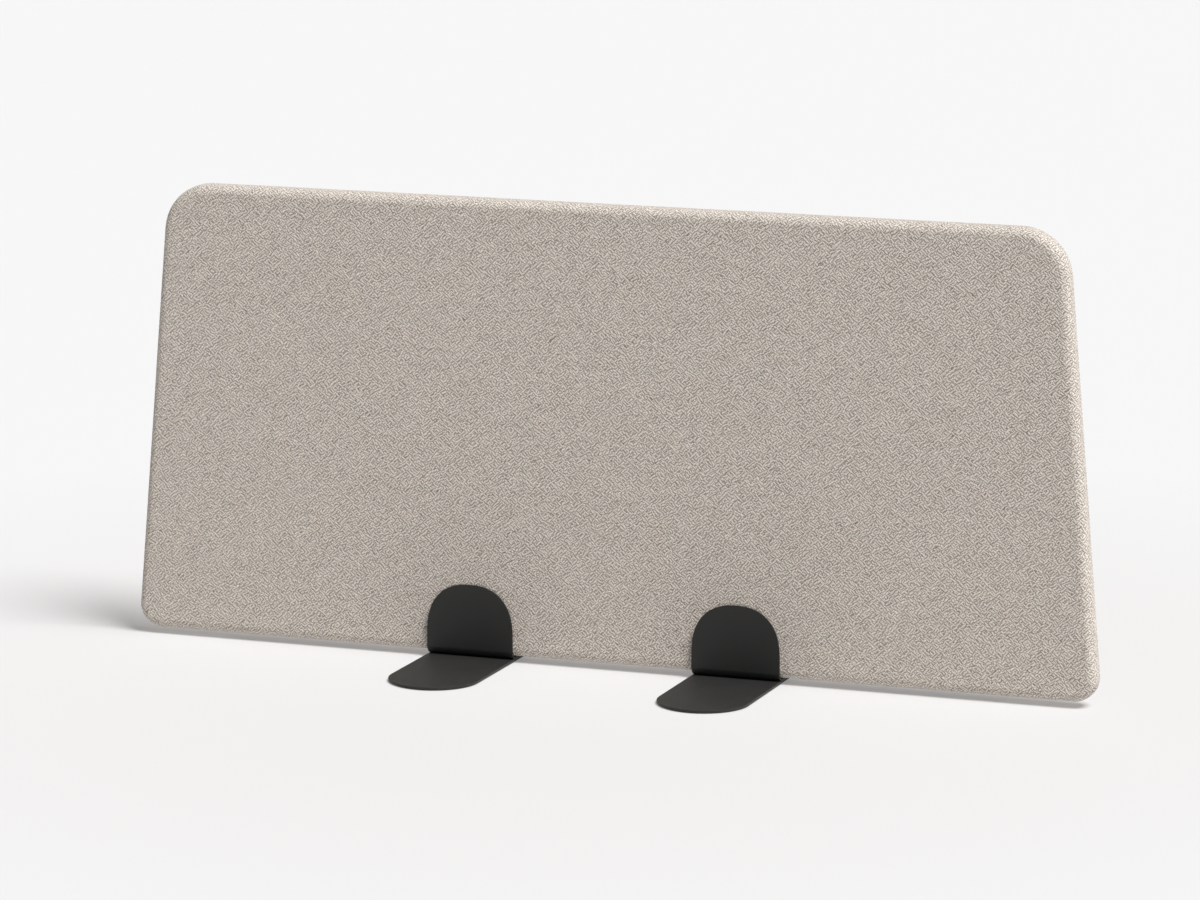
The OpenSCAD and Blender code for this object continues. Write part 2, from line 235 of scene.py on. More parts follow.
class Finish(Nodes):
    """A procedural material on one Principled shader."""

    def __init__(self, name, **constants):
        self.material = bpy.data.materials.new(name)
        self.material.use_nodes = True
        super().__init__(self.material.node_tree, "Principled BSDF")
        self.set(**constants)


class Outputs:
    """The outputs of a node, by name or identifier."""

    def __init__(self, finish, made):
        self.finish, self.made = finish, made

    def __getitem__(self, key):
        found = [s for s in self.made.outputs if key in (s.identifier, s.name)]
        return Value(self.finish, found[0])


def colour(red, green, blue):
    """Linear colour, with an alpha, of an sRGB colour in steps of 255."""
    def linear(c):
        return c / 12.92 if c <= 0.04045 else ((c + 0.055) / 1.055) ** 2.4
    return (*(linear(c / 255) for c in (red, green, blue)), 1)


def paint_sky(scene):
    """A dim sky with a bright band low behind the part.

    With z up and y to the rear, its light is SKY plus a band that fades out from z = 0
    to BAND_TOP and grows from BAND_FRONT by BAND_REAR * max(y, 0) ^ 2. A camera sees it
    as an even BACKDROP, as pale as the floor.
    """
    scene.world = bpy.data.worlds.new("studio")
    scene.world.use_nodes = True
    sky = Nodes(scene.world.node_tree, "Background")
    direction = sky.node("ShaderNodeTexCoord")["Generated"]
    way = sky.node("ShaderNodeSeparateXYZ", None, {"Vector": direction})
    band = (1 - way["Z"].above(0) / BAND_TOP).clipped() ** 1.5
    light = band * (way["Y"].above(0) ** 2 * BAND_REAR + BAND_FRONT) + SKY
    seen = sky.node("ShaderNodeLightPath")["Is Camera Ray"]
    sky.set(Color=sky.blend(SKY_COLOUR, BACKDROP_COLOUR, seen),
            Strength=light * (1 - seen) + seen * BACKDROP)


def hang_key(scene):
    """One soft key light from the upper right of the front."""
    key = bpy.data.lights.new("key", "SUN")
    key.energy, key.angle = KEY_LIGHT, math.radians(KEY_SPREAD)
    lamp = bpy.data.objects.new("key", key)
    towards = np.array(KEY_TOWARDS)
    lamp.rotation_euler = (
        math.acos(towards[2] / np.linalg.norm(towards)), 0,
        math.atan2(towards[0], -towards[1]),
    )
    scene.collection.objects.link(lamp)


def lay_floor(scene):
    """A pale table that glows a little, like a light table, and is paler far away."""
    paint = Finish("floor_paint", Roughness=0.9, Specular_IOR_Level=0.1,
                   Emission_Color=GLOW_COLOUR, Emission_Strength=FLOOR_GLOW)
    away = paint.node("ShaderNodeVectorMath", {"operation": "LENGTH"},
                      {0: paint.coordinates()})["Value"]
    start, end = FLOOR_FADE
    paint.set(Base_Color=paint.blend(FLOOR_NEAR, FLOOR_FAR,
                                     ((away - start) / (end - start)).clipped()))
    mesh = bpy.data.meshes.new("floor")
    ends = -FLOOR_REACH, FLOOR_REACH
    mesh.from_pydata([(x, y, 0) for x in ends for y in ends], [], [(0, 2, 3, 1)])
    mesh.materials.append(paint.material)
    floor = bpy.data.objects.new("floor", mesh)
    scene.collection.objects.link(floor)


def light_the_stage():
    """The sky, the key light and the floor."""
    scene = bpy.context.scene
    paint_sky(scene)
    hang_key(scene)
    lay_floor(scene)


def side_x(y, inset):
    """Half width of the panel at height y, on its outline drawn in by inset."""
    return PANEL_W / 2 - inset / math.cos(LEAN) - y * math.tan(LEAN)


# Joints of the bottom rail and ends of the slit under the panel, from the middle
BOTTOM_JOINT_X = side_x(OPENING_INSET, OPENING_INSET) - GUSSET - JOINT_PAST_GUSSET
STRIP_HALF = BOTTOM_JOINT_X - STRIP_END
# Runs round the edge of the panel: a quarter turn, the flat, the turn as far as the seam
QUARTER = EDGE_R * math.pi / 2
EDGE_FLAT = PANEL_T - 2 * EDGE_R
SEAM_TURN = EDGE_R * math.asin((SEAM_BACK - EDGE_FLAT / 2) / EDGE_R)
SLIT_EDGE = (EDGE_FLAT - STRIP_W) / 2
FRONT_WRAP, REAR_WRAP = QUARTER + EDGE_FLAT + SEAM_TURN, QUARTER - SEAM_TURN


class Outline:
    """The panel's front view: a rounded trapezoid, anticlockwise from the lower left.

    It runs through states of centre, radius and angle. Between two states one or the
    other changes evenly, which gives an arc or a straight run, and a point of the
    outline drawn in by inset is centre + (radius - inset) * (cos angle, sin angle).
    """

    # Steps on half a corner, the two short runs at each end of the slit, the slit, a side
    ARC, END, NOTCH, SLIT, SIDE = 18, 4, 4, 160, 78

    def __init__(self):
        low, high = BOTTOM_CORNER_R, PANEL_H - TOP_CORNER_R
        low_x, high_x = side_x(low, BOTTOM_CORNER_R), side_x(high, TOP_CORNER_R)
        lean = math.degrees(LEAN)
        half_low, half_high = (90 + lean) / 2, (90 - lean) / 2
        low_left, low_right = (-low_x, low, BOTTOM_CORNER_R), (low_x, low, BOTTOM_CORNER_R)
        high_right, high_left = (high_x, high, TOP_CORNER_R), (-high_x, high, TOP_CORNER_R)
        arc, side, across = self.ARC, self.SIDE, self.SLIT + 2 * (self.NOTCH + self.END)
        self.states = [(*low_left, -90 - half_low), (*low_left, -90)]
        counts = [arc]
        for x, count in ((-BOTTOM_JOINT_X, self.END), (-STRIP_HALF, self.NOTCH),
                         (STRIP_HALF, self.SLIT), (BOTTOM_JOINT_X, self.NOTCH),
                         (low_x, self.END)):
            self.states.append((x, low, BOTTOM_CORNER_R, -90))
            counts.append(count)
        self.states += [
            (*low_right, half_low - 90), (*low_right, lean), (*high_right, lean),
            (*high_right, lean + half_high), (*high_right, 90), (*high_left, 90),
            (*high_left, 90 + half_high), (*high_left, 180 - lean), (*low_left, 180 - lean),
            (*low_left, 270 - half_low)]
        counts += [arc, arc, side, arc, arc, across, arc, arc, side, arc]
        self.wide, self.high = across + 2 * arc, side + 2 * arc
        self.places = np.concatenate(([0], np.cumsum(counts)))
        self.slit = range(self.places[3], self.places[4])
        self.notch = range(self.places[2], self.places[5] + 1)

    def at(self, place):
        """Centre, radius and outward normal at places counted along the outline."""
        columns = np.array(self.states, float).T
        x, y, radius, angle = (np.interp(place, self.places, c) for c in columns)
        angle = np.radians(angle)
        return np.stack((x, y), -1), radius, np.stack((np.cos(angle), np.sin(angle)), -1)

    @property
    def count(self):
        return self.places[-1]


OUTLINE = Outline()


def roll(length, depth):
    """Inset and level of the section through an edge of the cover.

    length runs along the outside from the rim of the front face: a quarter turn of
    EDGE_R, the flat of the edge, and a quarter turn to the rear face. depth is measured
    into the panel. Inset counts from the outline, level from the middle plane.
    """
    along = np.clip(length - QUARTER, 0, EDGE_FLAT)
    past = np.clip(length - QUARTER - EDGE_FLAT, 0, QUARTER)
    turn = (np.clip(length, 0, QUARTER) + past) / EDGE_R
    inset = EDGE_R - (EDGE_R - depth) * np.sin(turn)
    return inset, EDGE_FLAT / 2 - along + (EDGE_R - depth) * np.cos(turn)


def bell(distance, width):
    """A bell that is 1 at no distance and falls off over width."""
    return np.exp(-(distance / width) ** 2)


def ease(value, low, high):
    """Smooth step from 0 at low to 1 at high."""
    t = np.clip((value - low) / (high - low), 0, 1)
    return t * t * (3 - 2 * t)


def sag(x, y):
    """How far the taut cover lies under its true surface: slow waves of the padding.

    Three waves of SAG across the panel, from 0 to six times SAG in all, that fade out
    towards the feet, where the panel slides.
    """
    waves = sum(np.sin(a * x + b * y + start) for a, b, start in SAG_WAVES)
    return SAG * (len(SAG_WAVES) + waves) * ease(y, *SAG_FADE)


def upright(x, y, level):
    """Points of the front view, stood up in the part's frame."""
    return np.stack((x, -level, PANEL_Z + y), -1)


def patch(ring):
    """Points over a closed ring of the outline: a Coons patch between its four sides.

    Each point is the mean of the straight blends across and up, less that of the corners.
    """
    wide, high = OUTLINE.wide, OUTLINE.high
    loop = np.vstack((ring, ring[:1]))
    bottom, right = loop[:wide + 1], loop[wide:wide + high + 1]
    top, left = loop[wide + high:2 * wide + high + 1][::-1], loop[2 * wide + high:][::-1]
    u = np.linspace(0, 1, wide + 1)[None, :, None]
    v = np.linspace(0, 1, high + 1)[:, None, None]
    corners = ((1 - u) * (1 - v) * bottom[0] + u * (1 - v) * bottom[-1]
               + (1 - u) * v * top[0] + u * v * top[-1])
    return ((1 - v) * bottom + v * top + (1 - u) * left[:, None] + u * right[:, None] - corners)


def patch_indices(ring_start, inner_start):
    """Vertex numbers of a patch whose rim is a ring that is there already."""
    wide, high = OUTLINE.wide, OUTLINE.high
    grid = np.zeros((high + 1, wide + 1), int)
    ring = ring_start + np.arange(OUTLINE.count + 1) % OUTLINE.count
    grid[0], grid[:, -1] = ring[:wide + 1], ring[wide:wide + high + 1]
    grid[-1] = ring[wide + high:2 * wide + high + 1][::-1]
    grid[:, 0] = ring[2 * wide + high:][::-1]
    inner = (high - 1) * (wide - 1)
    grid[1:-1, 1:-1] = inner_start + np.arange(inner).reshape(high - 1, wide - 1)
    return grid


def grid_quads(grid):
    """Four-sided faces over a grid of vertex numbers."""
    return np.stack((grid[:-1, :-1], grid[:-1, 1:], grid[1:, 1:], grid[1:, :-1]), -1).reshape(-1, 4)


def make_piece(name, points, faces, finish, body, uv=None, tidy=False):
    """An object of these points and faces, smooth, with its finish and body."""
    mesh = bpy.data.meshes.new(name)
    mesh.from_pydata(np.asarray(points).reshape(-1, 3).tolist(), [], faces)
    if uv is not None:
        corners = np.zeros(len(mesh.loops), int)
        mesh.loops.foreach_get("vertex_index", corners)
        layer = mesh.uv_layers.new(name="cloth")
        layer.data.foreach_set("uv", np.asarray(uv)[corners].astype(np.float32).ravel())
    if tidy:
        shape = bmesh.new()
        shape.from_mesh(mesh)
        bmesh.ops.remove_doubles(shape, verts=shape.verts, dist=WELD)
        bmesh.ops.dissolve_degenerate(shape, edges=shape.edges, dist=SLIVER)
        shape.to_mesh(mesh)
        shape.free()
    mesh.polygons.foreach_set("use_smooth", [True] * len(mesh.polygons))
    mesh.materials.append(finish.material)
    piece = bpy.data.objects.new(name, mesh)
    bpy.context.scene.collection.objects.link(piece)
    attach(piece, body)
    return piece


def closed_skin(insets, levels, face_sags, side=1, holes=()):
    """Points, faces and front-view places of a closed skin of rings.

    insets and levels hold a row for each ring and a column for each place of the
    outline. The first and the last ring are the rims of a patch each, which lies at the
    level of its rim less face_sags of its x and y. side is -1 for a skin turned to the
    rear. holes are (first ring, last ring, places) without faces, and get walls.
    """
    rings, count = len(insets), OUTLINE.count
    centre, radius, out = OUTLINE.at(np.arange(count))
    rim = centre + (radius[None, :, None] - insets[..., None]) * out
    points, patches = [np.concatenate((rim, levels[..., None]), -1).reshape(-1, 3)], []
    for end, dip in ((0, face_sags[0]), (rings - 1, face_sags[1])):
        flat = patch(rim[end])[1:-1, 1:-1].reshape(-1, 2)
        level = np.full(len(flat), levels[end].max()) - dip * sag(*flat.T)
        patches.append(patch_indices(end * count, sum(map(len, points))))
        points.append(np.column_stack((flat, level)))
    points = np.vstack(points)
    number = np.arange(rings * count).reshape(rings, count)
    after = np.roll(number, -1, 1)
    band = np.stack((number[:-1], number[1:], after[1:], after[:-1]), -1)
    keep = np.ones(band.shape[:2], bool)
    walls = []
    for first, last, places in holes:
        back_first, back_last = rings - 1 - first, rings - 1 - last
        i = np.arange(places.start, places.stop)
        keep[first:last, i] = keep[back_last:back_first, i] = False
        k, a, b = np.arange(first, last), places.start, places.stop
        def wall(one, two, inner_two, inner_one):
            walls.append(np.stack((one, two, inner_two, inner_one), -1))
        wall(number[first, i + 1], number[first, i],
             number[back_first, i], number[back_first, i + 1])
        wall(number[last, i], number[last, i + 1],
             number[back_last, i + 1], number[back_last, i])
        wall(number[k, a], number[k + 1, a],
             number[rings - 2 - k, a], number[rings - 1 - k, a])
        wall(number[k + 1, b], number[k, b],
             number[rings - 1 - k, b], number[rings - 2 - k, b])
    faces = np.vstack([band[keep], grid_quads(patches[0]), grid_quads(patches[1])[:, ::-1],
                       *walls])
    if side < 0:
        faces = faces[:, ::-1]
    return upright(points[:, 0], points[:, 1], side * points[:, 2]), faces.tolist(), points


def puckers(place):
    """Share of a fold at each place: CORNER_FOLDS round the middle of every corner.

    At t from 0 to 1 round a corner it is its share of FOLD_SHARES, lower corners first,
    times sin(pi t) ^ 2 * (1 + cos(2 pi CORNER_FOLDS t)) / 2.
    """
    share = np.zeros(len(place))
    out = OUTLINE.at(place)[2]
    angle = np.degrees(np.arctan2(out[:, 1], np.abs(out[:, 0])))
    lean = math.degrees(LEAN)
    for low, high, deep in zip((-90, lean), (lean, 90), FOLD_SHARES):
        t = np.clip((angle - low) / (high - low), 0, 1)
        folds = 0.5 + 0.5 * np.cos(2 * math.pi * CORNER_FOLDS * t)
        share += deep * np.sin(math.pi * t) ** 2 * folds
    return share


def cover(name, lengths, side, holes=()):
    """One of the two cloths of the cover, a closed shell COVER_T thick.

    Its outside follows the roll of the panel's edge up to the seam, where it dips by
    SEAM_DEPTH * exp(-(distance / SEAM_WIDTH) ^ 2) and gathers in puckers at the corners.
    The cloth's own coordinates are the front view's on the face, and run on along the
    roll, in metres.
    """
    lengths = np.asarray(lengths)[:, None]
    place = np.arange(OUTLINE.count)
    centre, radius, out = OUTLINE.at(place)
    spot = centre + (radius - EDGE_R)[:, None] * out
    to_seam = lengths[-1] - lengths
    dip = SEAM_DEPTH * bell(to_seam, SEAM_WIDTH)
    dip = dip + PUCKER_DEPTH * bell(to_seam, PUCKER_REACH) * puckers(place)
    slack = sag(*spot.T) * np.ones_like(lengths)
    outer, inner = roll(lengths, slack + dip), roll(lengths, slack + COVER_T)
    insets = np.vstack((outer[0], inner[0][::-1]))
    levels = np.vstack((outer[1], inner[1][::-1]))
    points, faces, flat = closed_skin(insets, levels, (1, 1), side, holes)
    run = np.concatenate((lengths, lengths[::-1]))[..., None]
    cloth = (spot + out * run).reshape(-1, 2)
    uv = np.vstack((cloth, flat[len(cloth):, :2])) * (side, 1)
    return make_piece(name, points, faces, CLOTH, "screen", uv)


def declare_cut(wrap):
    """Works out the flat trapezoid that a cloth was cut from, by its face, wrap and seam allowance,
    and keeps none of it.
    """
    past = wrap + SEAM_ALLOWANCE - EDGE_R
    low, high = (side_x(y, -past) for y in (-past, PANEL_H + past))
    tall = PANEL_H + 2 * past
    2 * low
    (low + high) * tall
    "wadding_pad_front" if wrap > QUARTER else "wadding_pad_back"


def front_cloth(stitches):
    """The front of the cover, which wraps the edges and has the slit for the strip."""
    slit = [QUARTER + SLIT_EDGE, QUARTER + EDGE_FLAT / 2, QUARTER + EDGE_FLAT - SLIT_EDGE]
    lengths = [*np.linspace(0, QUARTER, FRONT_RINGS), *slit, QUARTER + EDGE_FLAT,
               *(FRONT_WRAP - np.array(FRONT_SEAM_RINGS) * MM)]
    hole = FRONT_RINGS, FRONT_RINGS + len(slit) - 1, OUTLINE.slit
    made = cover("cover_front_cloth", lengths, 1, [hole])
    declare_cut(FRONT_WRAP)
    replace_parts(made, "cover_front")


def rear_cloth():
    """The back of the cover, up to the seam on the roll."""
    lengths = [*np.linspace(0, REAR_WRAP - SEAM_DIP_START, REAR_RINGS),
               *(REAR_WRAP - np.array(REAR_SEAM_RINGS) * MM)]
    made = cover("cover_back_cloth", lengths, -1)
    declare_cut(REAR_WRAP)
    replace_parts(made, "cover_back")


def wadding_pad(name, side, node):
    """Half of the wadding: a pad under the cover with a pocket for the frame.

    Its outside lies under the cover down to the middle plane, and its pocket follows the
    frame's outline. Where the bottom rail passes down to the cover it ends on the rail.
    """
    lengths = np.linspace(0, QUARTER + EDGE_FLAT / 2, 9)[:, None]
    place = np.arange(OUTLINE.count)
    centre, radius, out = OUTLINE.at(place)
    spot = centre + (radius - EDGE_R)[:, None] * out
    under = COVER_T + WADDING_PLAY + sag(*spot.T)
    over_rail = np.isin(place, OUTLINE.notch)
    rail_end = EDGE_R * math.acos((FRAME_T / 2 - EDGE_FLAT / 2) / (EDGE_R - COVER_T))
    lengths = np.where(over_rail, np.minimum(lengths, rail_end), lengths)
    insets, levels = roll(lengths, under)
    pocket = np.where(over_rail, insets[-1], FRAME_INSET - WADDING_PLAY)
    top = np.full(len(place), FRAME_T / 2)
    insets = np.vstack((insets, pocket, pocket))
    levels = np.vstack((levels, np.where(over_rail, top, 0), top))
    points, faces, _ = closed_skin(insets, levels, (1, 0), side)
    made = make_piece(name, points, faces, WADDING, "screen", tidy=True)
    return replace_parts(made, node)


def absorber_slab(name, corners, node):
    """A slab of the absorber: its outline, with the edges eased by SLAB_EASE.

    The outline is drawn in along its mitres by SLAB_EASE * (1 - cos a) at the level of
    half the thickness less SLAB_EASE * (1 - sin a).
    """
    corners = np.array(corners)
    before, after = corners - np.roll(corners, 1, 0), np.roll(corners, -1, 0) - corners
    normals = [np.stack((run[:, 1], -run[:, 0]), -1) / np.linalg.norm(run, axis=1)[:, None]
               for run in (before, after)]
    mitre = (normals[0] + normals[1]) / (1 + (normals[0] * normals[1]).sum(1))[:, None]
    turn = np.linspace(0, math.pi / 2, 5)
    turns = np.concatenate((turn[::-1], -turn))
    drawn_in = SLAB_EASE * (1 - np.cos(turns)) + SLAB_PLAY
    level = np.sign(turns + 1e-9) * (FRAME_T / 2 - SLAB_EASE * (1 - np.abs(np.sin(turns))))
    flat = corners - drawn_in[:, None, None] * mitre
    points = upright(flat[..., 0], flat[..., 1], level[:, None] * np.ones(len(corners)))
    count = len(corners)
    number = np.arange(len(turns) * count).reshape(-1, count)
    near = np.roll(number, -1, 1)
    band = np.stack((number[:-1], number[1:], near[1:], near[:-1]), -1).reshape(-1, 4)
    faces = [*band.tolist(), number[0].tolist(), number[-1][::-1].tolist()]
    made = make_piece(name, points, faces, ABSORBER, "screen")
    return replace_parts(made, node)


def absorber_slabs():
    """Three slabs that fill the bays between the stiles and the posts."""
    post = FOOT_SPACING / 2
    low, high = OPENING_INSET, PANEL_H - OPENING_INSET
    low_x, high_x = side_x(low, OPENING_INSET), side_x(high, OPENING_INSET)
    up = GUSSET * np.array((-math.sin(LEAN), math.cos(LEAN)))
    bay = np.array([
        (post + MEMBER_W / 2, low), (low_x - GUSSET, low), (low_x, low) + up,
        (high_x, high) - up, (high_x - GUSSET, high), (post + MEMBER_W / 2, high)])
    half = post - MEMBER_W / 2
    absorber_slab("absorber_slab_right", bay, "absorber_right")
    absorber_slab("absorber_slab_left", (bay * (-1, 1))[::-1], "absorber_left")
    absorber_slab("absorber_slab_middle",
                  [(-half, low), (half, low), (half, high), (-half, high)], "absorber_middle")


def thread_stitches():
    """Ladder stitches across the rear seam: short threads that dip in at both ends.

    A thread runs along the section from -1 to 1 times its half length, its height is
    STITCH_RISE - STITCH_DIVE * t ^ 2, and it slants by STITCH_SLANT * t along the seam.
    """
    place = np.arange(OUTLINE.count + 1)
    centre, radius, out = OUTLINE.at(place)
    inset, level = roll(FRONT_WRAP, 0)
    line = centre + (radius - inset)[:, None] * out
    along = np.concatenate(([0], np.cumsum(np.linalg.norm(np.diff(line, axis=0), axis=1))))
    stitches = int(along[-1] / STITCH_PITCH)
    t = np.linspace(-1, 1, 7)
    where = (np.arange(stitches)[:, None] + 0.5) * along[-1] / stitches + STITCH_SLANT * t
    centre, radius, out = OUTLINE.at(np.interp(where, along, place))
    lines = []
    for height in (0, MM):
        depth = STITCH_DIVE * t ** 2 - STITCH_RISE - height
        inset, level = roll(FRONT_WRAP + STITCH_HALF * t, depth)
        lines.append(np.dstack((centre + (radius - inset)[..., None] * out,
                                level * np.ones_like(where))))
    middle, normal = lines[0], (lines[1] - lines[0]) / MM
    sideways = np.dstack((-out[..., 1], out[..., 0], np.zeros_like(where)))
    around = np.linspace(0, 2 * math.pi, 6, endpoint=False)
    thick = THREAD_R * np.sqrt(np.clip(1.02 - t ** 6, 0, 1))[:, None, None]
    ring = (np.cos(around)[:, None] * normal[..., None, :]
            + np.sin(around)[:, None] * sideways[..., None, :])
    points = middle[..., None, :] + thick * ring
    number = np.arange(points[..., 0].size).reshape(stitches, len(t), len(around))
    near = np.roll(number, -1, 2)
    band = np.stack((number[:, :-1], near[:, :-1], near[:, 1:], number[:, 1:]), -1)
    faces = [*band.reshape(-1, 4).tolist(), *number[:, 0, ::-1].tolist(), *number[:, -1].tolist()]
    return make_piece("rear_seam_stitches", upright(*np.moveaxis(points, -1, 0)), faces, THREAD,
                      "screen")


def staple_places():
    """Middles of the staples: a row that leaves out the posts, as in the part's source."""
    count = math.floor(2 * (STRIP_HALF - STRIP_END) / STAPLE_PITCH)
    row = (np.arange(count + 1) - count / 2) * STAPLE_PITCH
    return row[np.abs(np.abs(row) - FOOT_SPACING / 2) > MEMBER_W / 2 + STAPLE_CROWN]


def closing_tape():
    """The woven strip in the slit under the panel, pressed in under each staple.

    Its section is a flat band with round edges, and its depth dips by TAPE_DIP times a
    bell round each staple.
    """
    x = np.linspace(-STRIP_HALF + TAPE_PLAY, STRIP_HALF - TAPE_PLAY, TAPE_STEPS)
    half, thick = STRIP_W / 2 - TAPE_PLAY, COVER_T - 2 * TAPE_PLAY
    turn = np.linspace(-math.pi / 2, math.pi / 2, 7)
    right = np.stack((half - thick / 2 + np.cos(turn) * thick / 2, np.sin(turn) * thick / 2), -1)
    flat = np.linspace(half - thick / 2, thick / 2 - half, 12)[1:-1]
    section = np.vstack((right, np.column_stack((flat, np.full(len(flat), thick / 2))),
                         -right, np.column_stack((-flat, np.full(len(flat), -thick / 2)))))
    dip = TAPE_DIP * bell(x[:, None] - staple_places(), 0.6 * STAPLE_CROWN).sum(1)
    lowered = np.where(section[:, 1] < 0, 1, 0) * dip[:, None]
    y = COVER_T / 2 + section[:, 1] + lowered
    level = section[:, 0] * np.ones_like(y)
    points = upright(x[:, None] * np.ones_like(y), y, level)
    run = np.cumsum(np.linalg.norm(np.diff(section, axis=0, prepend=section[:1]), axis=1))
    uv = np.dstack((x[:, None] * np.ones_like(y), run * np.ones_like(y)))
    number = np.arange(y.size).reshape(y.shape)
    near = np.roll(number, -1, 1)
    band = np.stack((number[:-1], number[1:], near[1:], near[:-1]), -1).reshape(-1, 4)
    faces = [*band.tolist(), number[0].tolist(), number[-1][::-1].tolist()]
    made = make_piece("closing_tape", points, faces, TAPE, "screen",
                      uv.reshape(-1, 2))
    2 * STRIP_HALF
    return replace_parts(made, "underside_strip")


def liner(name, side, node, body):
    """Felt in the U of a bracket: a band bent round the slot, cut to the tabs' outline.

    Its length runs over the web, a quarter turn and up the tab, and its half width on
    the tab is a * (1 - (rise / b) ^ power) ^ (1 / power) over the spring of the arch.
    """
    half, bend = PANEL_T / 2 + SLIDE_GAP, BEND_R - LINER_T
    floor_z, web = BRACKET_Z + BRACKET_T + LINER_T, half - bend
    quarter = bend * math.pi / 2
    a, b = FOOT_W / 2 - LINER_INSET, ARCH_H - LINER_INSET
    spring = BRACKET_Z + BRACKET_H - ARCH_H
    to_spring = web + quarter + spring - floor_z - bend
    rise = np.radians(np.linspace(0, 88, 30))[1:]
    run = np.concatenate((np.linspace(0, web, 4), web + np.linspace(0, quarter, 10)[1:],
                          np.linspace(web + quarter, to_spring, 6)[1:]))
    width = np.full(len(run), a)
    run = np.concatenate((run, to_spring + b * np.sin(rise) ** (2 / ARCH_POWER)))
    width = np.concatenate((width, a * np.cos(rise) ** (2 / ARCH_POWER)))
    run, width = np.concatenate((-run[:0:-1], run)), np.concatenate((width[:0:-1], width))
    across = np.linspace(-1, 1, 25)
    turn = np.clip(np.abs(run) - web, 0, quarter) / bend
    up = np.clip(np.abs(run) - web - quarter, 0, None)
    skins = []
    for thick in (0, LINER_T):
        y = np.sign(run) * (np.minimum(np.abs(run), web) + (bend + thick) * np.sin(turn))
        z = floor_z + bend - (bend + thick) * np.cos(turn) + up
        x = side * FOOT_SPACING / 2 + width[:, None] * across
        skins.append(np.dstack((x, y[:, None] + 0 * x, z[:, None] + 0 * x)))
    number = np.arange(x.size).reshape(x.shape)
    rim = np.concatenate((number[0], number[1:, -1], number[-1, -2::-1], number[-2:0:-1, 0]))
    near = np.roll(rim, -1)
    faces = np.vstack((grid_quads(number), grid_quads(number)[:, ::-1] + x.size,
                       np.stack((near, rim, rim + x.size, near + x.size), -1)))
    uv = np.dstack((x, run[:, None] + 0 * x)).reshape(-1, 2)
    made = make_piece(name, np.stack(skins), faces.tolist(), FELT, body,
                      np.vstack((uv, uv)))
    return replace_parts(made, node)


def woollen_cloth():
    """Hopsack crepe in beige wool: short floats of three yarns that cross both ways.

    Within a cell of FLOAT_L the floats run at FLOAT_TURN one way or the other, by chance.
    With a = across / FLOAT_W + a chance shift and r = FLOAT_ROUNDING, the height of a
    float is |sin(pi a)| ^ r, grooved between its yarns by |sin(FLOAT_YARNS pi a)| ^ r. It
    dips by RIM_DIP at the cell's edge, where the yarns go under, and carries the
    slanting ridges of their twist.
    """
    cloth = Finish("woollen_cloth", Roughness=0.92, Specular_IOR_Level=0.2, Sheen_Weight=0.1,
                   Sheen_Roughness=0.5)
    flat = cloth.coordinates("cloth")
    bend = cloth.node("ShaderNodeTexNoise", {"noise_dimensions": "2D"},
                      {"Vector": flat, "Scale": 1 / WEAVE_SWAY[0], "Detail": 0})["Color"]
    pull = cloth.node("ShaderNodeVectorMath", {"operation": "MULTIPLY_ADD"},
                      {0: bend, 1: (WEAVE_SWAY[1], WEAVE_SWAY[1], 0), 2: flat})["Vector"]
    grid = {"Vector": pull, "Scale": 1 / FLOAT_L, "Randomness": 1}
    cells = cloth.node("ShaderNodeTexVoronoi", {"voronoi_dimensions": "2D"}, grid)
    rim = cloth.node("ShaderNodeTexVoronoi", {
        "voronoi_dimensions": "2D", "feature": "DISTANCE_TO_EDGE"}, grid)["Distance"]
    chance = cloth.node("ShaderNodeSeparateColor", None, {"Color": cells["Color"]})
    yarns = []
    for turn in (FLOAT_TURN, -FLOAT_TURN):
        turned = cloth.placed(pull, (0, 0, math.radians(turn)), (FLOAT_W, FLOAT_W, 1))
        place = cloth.node("ShaderNodeSeparateXYZ", None, {"Vector": turned})
        across = (place["Y"] + chance["Green"]) * math.pi
        groove = (across * FLOAT_YARNS).sine().size() ** FLOAT_ROUNDING
        slant = place["X"] * YARN_TWIST[0] + place["Y"] * YARN_TWIST[1]
        twist = (slant * (2 * math.pi)).sine()
        detail = groove * GROOVE_SHARE + twist * TWIST_SHARE + YARN_LEVEL
        yarns.append(across.sine().size() ** FLOAT_ROUNDING * detail)
    way = chance["Red"].over(0.5)
    under = (rim / RIM_SHARE).clipped() * RIM_DIP + (1 - RIM_DIP)
    height = (yarns[0] * way + yarns[1] * (1 - way)) * under
    fuzz = cloth.noise(flat, FUZZ_SIZE, 2) - 0.5
    mottle = cloth.noise(flat, MOTTLE_SIZE, 2) - 0.5
    dye = chance["Blue"] - 0.5
    # The colour follows the weave's height: painted shade in the grooves and at the cells' edges,
    # painted highlight on the floats' crowns; fibres, dye and mottling vary it at random
    light = height + fuzz * FUZZ_SHARE + dye * DYE_SHARE + mottle * MOTTLE_SHARE + TONE_SHIFT
    cloth.set(Base_Color=cloth.blend(CLOTH_GROOVE_PAINTED_SHADE, CLOTH_CROWN_PAINTED_HIGHLIGHT, light.clipped()),
              Normal=cloth.bump(height + fuzz * FUZZ_RELIEF, CLOTH_RELIEF))
    return cloth


def fibrous(name, pale, deep, size, relief, **constants):
    """Felted fibres: two scales of noise in the colour and in the relief."""
    fibre = Finish(name, **{"Roughness": 0.95, "Specular_IOR_Level": 0.15, **constants})
    place = fibre.coordinates()
    coarse, fine = fibre.noise(place, size, 3, 0.6), fibre.noise(place, size / 5, 2)
    mix = (coarse * 0.6 + fine * 0.4 - 0.5) * 1.8 + 0.5
    fibre.set(Base_Color=fibre.blend(deep, pale, mix.clipped()),
              Normal=fibre.bump(mix, relief))
    return fibre


